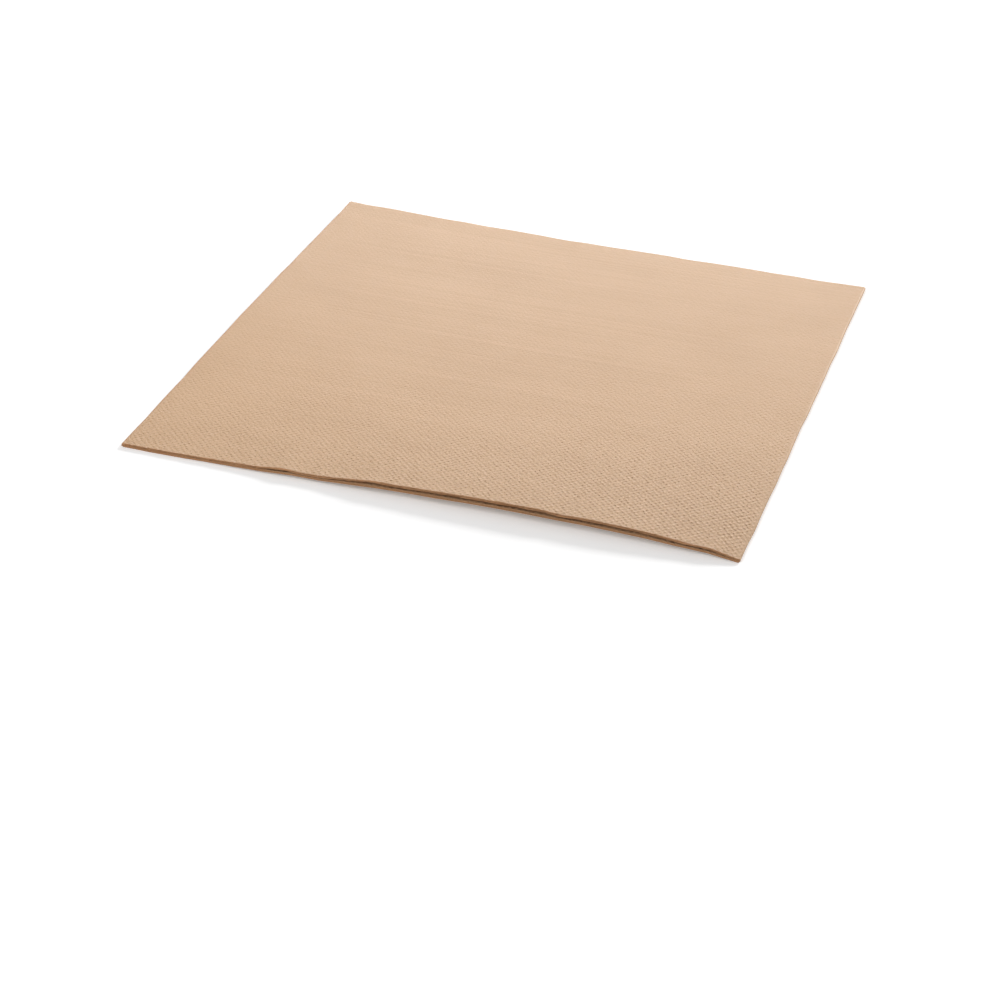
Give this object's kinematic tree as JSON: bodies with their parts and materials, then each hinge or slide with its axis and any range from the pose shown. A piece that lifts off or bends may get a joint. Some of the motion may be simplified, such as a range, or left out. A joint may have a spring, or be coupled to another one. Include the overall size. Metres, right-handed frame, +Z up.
{
  "type": "paper napkin",
  "caption": "Square unbleached tissue napkin, folded into quarters, with dotted embossing all over, soft folded edges at the back and right and loose cut edges at the front and left.",
  "frame": {"origin": "centre of the footprint, on the surface that the napkin lies on", "axes": "+Z up through the four leaves, +Y towards the first fold at the back, +X towards the second fold at the right"},
  "size_m": [0.1652, 0.165, 0.004],
  "materials": {
    "tissue": "matt unbleached two-ply tissue with small embossed dots"
  },
  "bodies": {
    "root": {"napkin": "tissue"}
  },
  "joints": []
}
